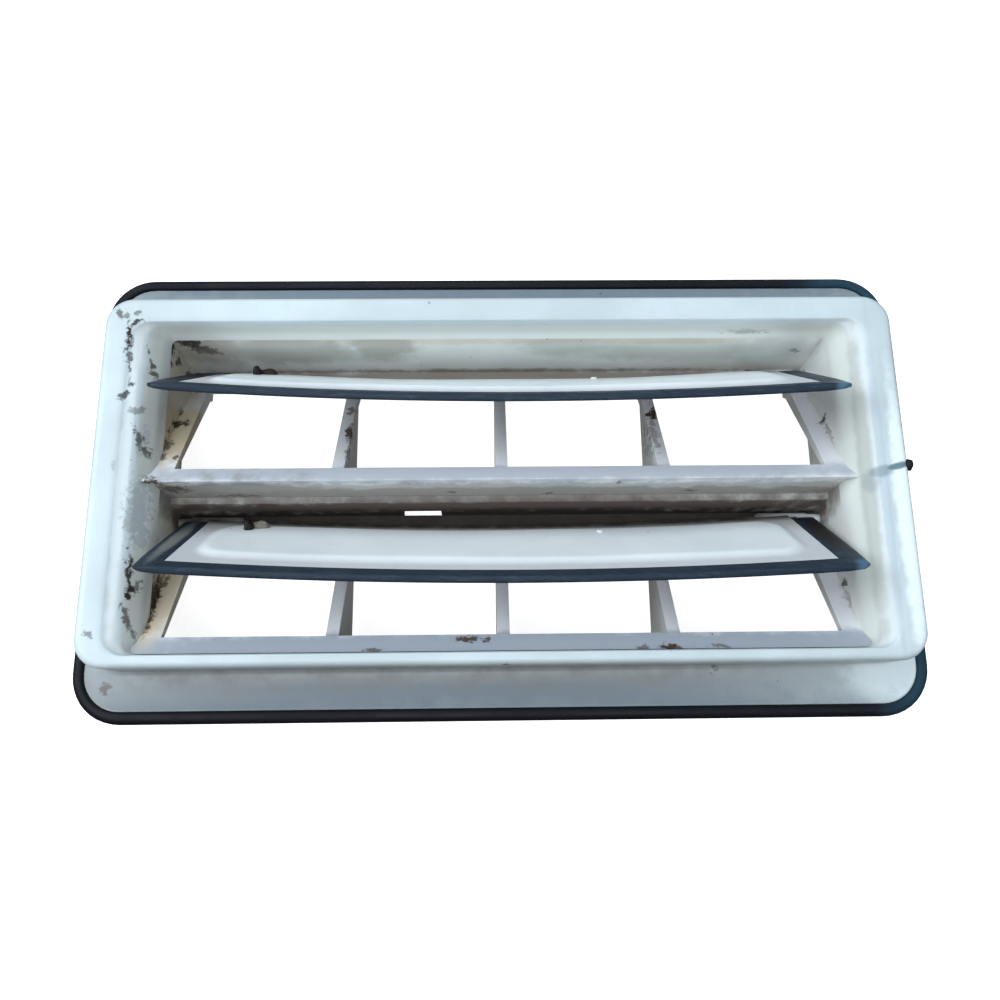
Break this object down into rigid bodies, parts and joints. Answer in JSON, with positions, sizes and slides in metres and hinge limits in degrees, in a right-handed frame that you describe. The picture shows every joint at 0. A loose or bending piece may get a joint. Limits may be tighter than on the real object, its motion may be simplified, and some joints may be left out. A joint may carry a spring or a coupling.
{
  "type": "cabin pressure relief vent",
  "caption": "Flanged rectangular duct vent with slanted ribbed windows, free-swinging rubber-lipped flaps and a perimeter lip seal.",
  "frame": {"origin": "middle of the rear plane on which the frame rests, mouth up", "axes": "+X along the long side to the right, +Y from the lower to the upper row of windows, +Z out of the mouth"},
  "size_m": [0.2052, 0.1142, 0.041],
  "materials": {
    "plastic_white": "satin, aged",
    "plastic_flap": "satin, aged",
    "rubber_black": "satin"
  },
  "bodies": {
    "housing": {"mouth_rim": "plastic_white", "mounting_flange": "plastic_white", "lip_seal": "rubber_black", "side_wall_left": "plastic_white", "side_wall_right": "plastic_white", "top_wall": "plastic_white", "bottom_wall": "plastic_white", "middle_bar": "plastic_white", "bottom_sill": "plastic_white", "upper_hinge_rail": "plastic_white", "lower_hinge_rail": "plastic_white", "upper_seat_left": "plastic_white", "upper_seat_right": "plastic_white", "lower_seat_left": "plastic_white", "lower_seat_right": "plastic_white", "snap_clips_top": "plastic_white", "snap_clips_bottom": "plastic_white", "upper_rib_left": "plastic_white", "upper_rib_centre": "plastic_white", "upper_rib_right": "plastic_white", "lower_rib_left": "plastic_white", "lower_rib_centre": "plastic_white", "lower_rib_right": "plastic_white"},
    "upper_flap": {"upper_flap_plate": "plastic_flap", "upper_flap_lip": "rubber_black"},
    "lower_flap": {"lower_flap_plate": "plastic_flap", "lower_flap_lip": "rubber_black"}
  },
  "joints": [
    {"name": "upper_flap_hinge", "type": "hinge", "parent": "housing", "child": "upper_flap", "pos_m": [0, 0.0332, 0.00524], "axis": [-1, 0, 0], "range_deg": [-27, 17.5]},
    {"name": "lower_flap_hinge", "type": "hinge", "parent": "housing", "child": "lower_flap", "pos_m": [0, -0.0068, 0.00524], "axis": [-1, 0, 0], "range_deg": [-24.3, 20.2]}
  ]
}
